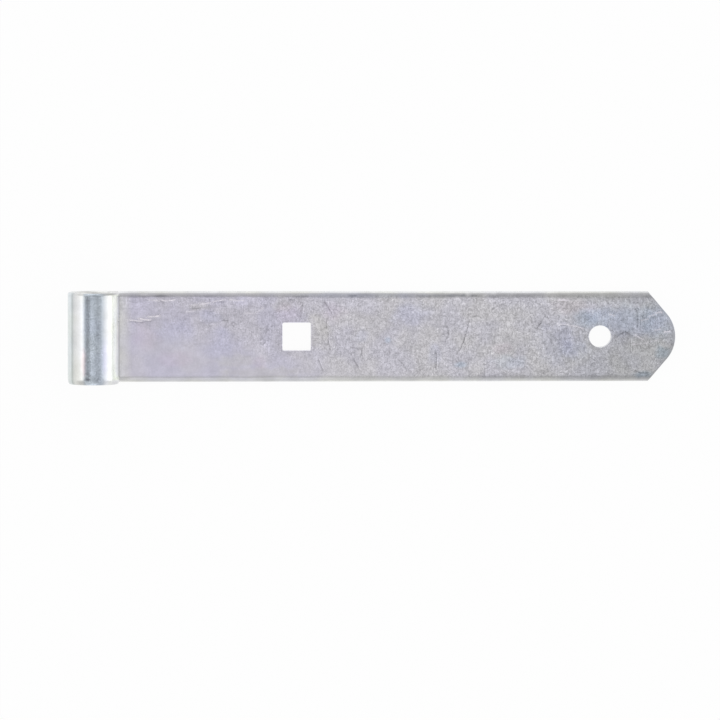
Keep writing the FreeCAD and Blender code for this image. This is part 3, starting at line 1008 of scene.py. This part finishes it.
# How bright the studio is from side to side, at degrees from straight up towards +X
SIDE_TO_SIDE = [
    (-180, 0.90), (-92, 0.95), (-80, 1.03), (-69, 1.11), (-62, 1.23), (-56, 1.30), (-52, 1.42),
    (-48, 1.38), (-44, 0.99), (-39, 0.69), (-34, 0.56), (-28, 0.42), (-23, 0.46), (-19, 0.60),
    (-15, 0.92), (-11, 1.12), (-7, 1.02), (-2, 0.85), (3, 0.85), (5.5, 0.75), (11, 0.68),
    (18, 0.61), (25, 0.68), (29, 0.72), (34, 0.85), (38, 1.02), (44, 1.17), (53, 1.20),
    (69, 1.52), (86, 1.56), (92, 1.35), (180, 0.90),
]
# The same from end to end, at degrees from straight up towards +Y: the share of SIDE_TO_SIDE that
# is kept and what is added to it
END_TO_END = [
    (-90, 0.0, 1.10), (-65, 0.0, 0.88), (-43, 0.0, 0.71), (-31, 0.15, 0.58), (-25, 0.46, 0.30),
    (-20, 0.62, 0.08), (-14, 0.66, 0.0), (-9, 0.92, 0.0), (-4, 1.0, 0.0), (-1, 1.0, 0.0),
    (4, 0.90, 0.0), (10, 0.70, 0.0), (16, 0.61, 0.0), (24, 0.58, 0.02), (35, 0.43, 0.27),
    (44, 0.35, 0.50), (57, 0.10, 0.95), (75, 0.0, 1.35), (90, 0.0, 1.65),
]
# END_TO_END fades out towards the sides, between these parts of a direction's length
MIDDLE = ((0.64, 0.80), (0.0, 1.0))
# The studio is even in its four corners, which begin between these parts of it, both sideways and
# endwards
CORNERS = ((0.24, 0.42), (0.0, 1.0))
CORNER_LIGHT = 0.92


def ramp(tree, share, stops):
    """Adds a colour ramp whose levels may pass 1, and returns its three levels."""
    peak = max(max(levels) for place, levels in stops)
    made = add_node(tree, "ShaderNodeValToRGB", {0: share})
    elements = made.color_ramp.elements
    while len(elements) > 1:
        elements.remove(elements[-1])
    for number, (place, levels) in enumerate(stops):
        element = elements.new(place) if number else elements[0]
        element.position = place
        element.color = (*(level / peak for level in levels), 1)
    levels = scaled(tree, made.outputs[0], peak)
    return add_node(tree, "ShaderNodeSeparateXYZ", {0: levels}).outputs


def studio():
    """A white studio whose ceiling is grey over the camera, with a long soft light on either side."""
    world = bpy.data.worlds.new("studio")
    bpy.context.scene.world = world
    world.use_nodes = True
    tree = world.node_tree
    tree.nodes.clear()
    towards = add_node(tree, "ShaderNodeTexCoord").outputs["Generated"]
    x, y, z = add_node(tree, "ShaderNodeSeparateXYZ", {0: towards}).outputs

    turn = compute(tree, "ARCTAN2", x, z)
    share = compute(tree, "MULTIPLY_ADD", turn, 0.5 / math.pi, 0.5)
    stops = [((degrees + 180) / 360, (level,) * 3) for degrees, level in SIDE_TO_SIDE]
    sides = ramp(tree, share, stops)[0]

    tilt = compute(tree, "ARCSINE", y)
    share = compute(tree, "MULTIPLY_ADD", tilt, 1 / math.pi, 0.5)
    stops = [((degrees + 90) / 180, (kept, added, 0)) for degrees, kept, added in END_TO_END]
    kept, added = ramp(tree, share, stops)[:2]
    level = compute(tree, "MULTIPLY_ADD", sides, kept, added)

    aside = compute(tree, "ABSOLUTE", x)
    endwards = compute(tree, "ABSOLUTE", y)
    beyond = remap(tree, aside, MIDDLE)
    level = add_node(tree, "ShaderNodeMix", {0: beyond, 2: level, 3: sides}).outputs[0]
    corner = compute(tree, "MULTIPLY", remap(tree, aside, CORNERS), remap(tree, endwards, CORNERS))
    level = add_node(tree, "ShaderNodeMix", {0: corner, 2: level, 3: CORNER_LIGHT}).outputs[0]
    light = add_node(tree, "ShaderNodeBackground", {"Color": (1, 1, 1, 1), "Strength": level})
    add_node(tree, "ShaderNodeOutputWorld", {"Surface": light.outputs[0]})


# The floor, in metres: how far it reaches, how far under the band it lies, its paint, and the share
# of its brightness that takes a shadow
FLOOR_REACH = 8.0
FLOOR_DROP = 0.02 * MM
FLOOR_PAINT = (0.97, 0.97, 0.97, 1)
FLOOR_SHADOW_SHARE = 0.05


def floor_white():
    """White to the camera and in reflections, with a faint shadow."""
    material = bpy.data.materials.new("floor")
    material.use_nodes = True
    tree = material.node_tree
    tree.nodes.clear()
    path = add_node(tree, "ShaderNodeLightPath").outputs
    seen = compute(tree, "MAXIMUM", path["Is Camera Ray"], path["Is Glossy Ray"])
    seen = compute(tree, "MAXIMUM", seen, path["Is Transmission Ray"])
    share = compute(tree, "MULTIPLY", seen, 1 - FLOOR_SHADOW_SHARE)
    paint = add_node(tree, "ShaderNodeBsdfDiffuse", {"Color": FLOOR_PAINT})
    white = add_node(tree, "ShaderNodeEmission", {"Color": (1, 1, 1, 1), "Strength": 1.0})
    inputs = {0: share, 1: paint.outputs[0], 2: white.outputs[0]}
    both = add_node(tree, "ShaderNodeMixShader", inputs)
    add_node(tree, "ShaderNodeOutputMaterial", {"Surface": both.outputs[0]})
    return material


def add_floor():
    """A white floor under the band's back face."""
    level = cad_low.z - FLOOR_DROP
    corners = [(-1, -1), (1, -1), (1, 1), (-1, 1)]
    places = [(x * FLOOR_REACH, y * FLOOR_REACH, level) for x, y in corners]
    mesh = bpy.data.meshes.new("floor")
    mesh.from_pydata(places, [], [(0, 1, 2, 3)])
    mesh.materials.append(floor_white())
    floor = bpy.data.objects.new("floor", mesh)
    bpy.context.scene.collection.objects.link(floor)


# The camera, fitted to the hole centres, the eye, the nose and the long edges in the photo: its place
# and its reach in metres, its pitch, yaw and turn in degrees, its lens and sensor in millimetres
CAMERA_PLACE = (-0.00010, 0.2118, 3.0)
CAMERA_ANGLES = (-4.242, -2.50, 0.133)
CAMERA_LENS = 306.0
CAMERA_SENSOR = 36.0
CAMERA_REACH = 20.0


def add_camera():
    """Looks down on the band's front face from well above it."""
    data = bpy.data.cameras.new("camera")
    data.sensor_width = CAMERA_SENSOR
    data.lens = CAMERA_LENS
    data.clip_end = CAMERA_REACH
    camera = bpy.data.objects.new("camera", data)
    bpy.context.scene.collection.objects.link(camera)
    pitch, yaw, turn = (math.radians(angle) for angle in CAMERA_ANGLES)
    rotation = Euler((0, yaw, 0)).to_matrix()
    rotation = rotation @ Euler((pitch, 0, 0)).to_matrix()
    rotation = rotation @ Euler((0, 0, turn)).to_matrix()
    camera.location = CAMERA_PLACE
    camera.rotation_mode = "QUATERNION"
    camera.rotation_quaternion = rotation.to_quaternion()
    bpy.context.scene.camera = camera


add_band()
studio()
add_floor()
add_camera()
bpy.context.scene.view_settings.view_transform = "Standard"
